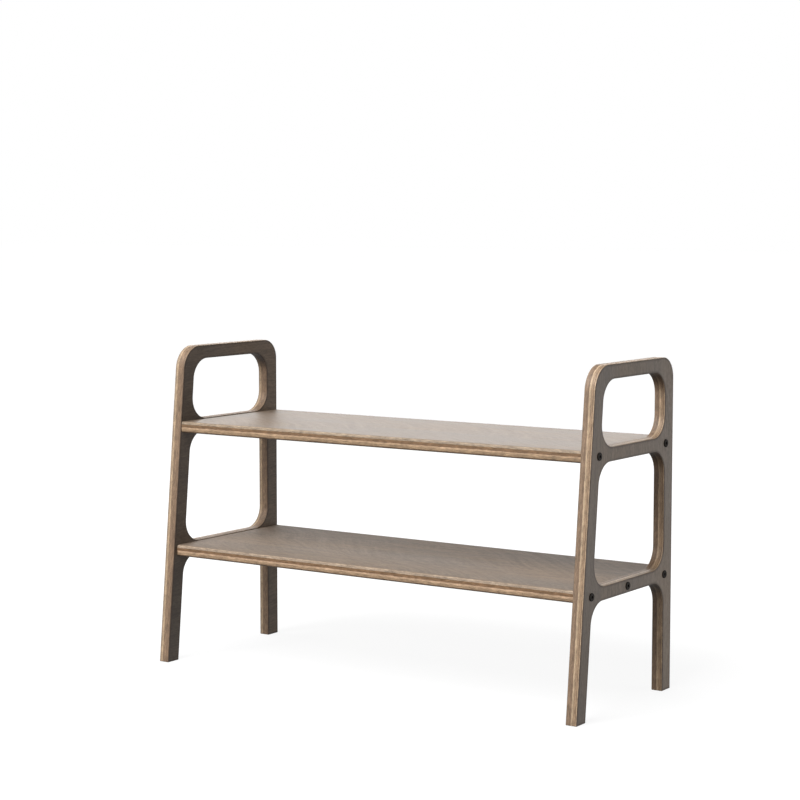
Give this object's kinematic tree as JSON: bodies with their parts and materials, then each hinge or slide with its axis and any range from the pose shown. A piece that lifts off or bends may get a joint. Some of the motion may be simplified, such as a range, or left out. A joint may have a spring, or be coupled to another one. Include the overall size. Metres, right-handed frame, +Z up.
{
  "type": "shoe bench",
  "caption": "Open shoe bench: tapered ladder-shaped plywood side panels with rounded openings, a seat board and a shoe shelf bolted between them by flat black bolts.",
  "frame": {"origin": "on the floor, midway along the bench's length and midway between its front and rear feet", "axes": "+X along the bench to a viewer's right, +Y from the leaning front edge to the upright rear edge, +Z up"},
  "size_m": [0.7732, 0.2909, 0.508],
  "materials": {
    "panel_plywood": "dark-stained plywood, satin clear coat, layered edges bare under the coat",
    "board_plywood": "dark-stained plywood, satin clear coat, rounded layered edges bare under the coat",
    "bolt_steel": "black coated steel, satin",
    "insert_steel": "zinc-plated steel"
  },
  "bodies": {
    "root": {"right_side_panel": "panel_plywood", "left_side_panel": "panel_plywood", "seat_board": "board_plywood", "shoe_shelf": "board_plywood", "right_seat_bolt_front": "bolt_steel", "right_seat_bolt_rear": "bolt_steel", "right_shelf_bolt_front": "bolt_steel", "right_shelf_bolt_middle": "bolt_steel", "right_shelf_bolt_rear": "bolt_steel", "left_seat_bolt_front": "bolt_steel", "left_seat_bolt_rear": "bolt_steel", "left_shelf_bolt_front": "bolt_steel", "left_shelf_bolt_middle": "bolt_steel", "left_shelf_bolt_rear": "bolt_steel", "right_seat_insert_nuts": "insert_steel", "right_shelf_insert_nuts": "insert_steel", "left_seat_insert_nuts": "insert_steel", "left_shelf_insert_nuts": "insert_steel"}
  },
  "joints": []
}
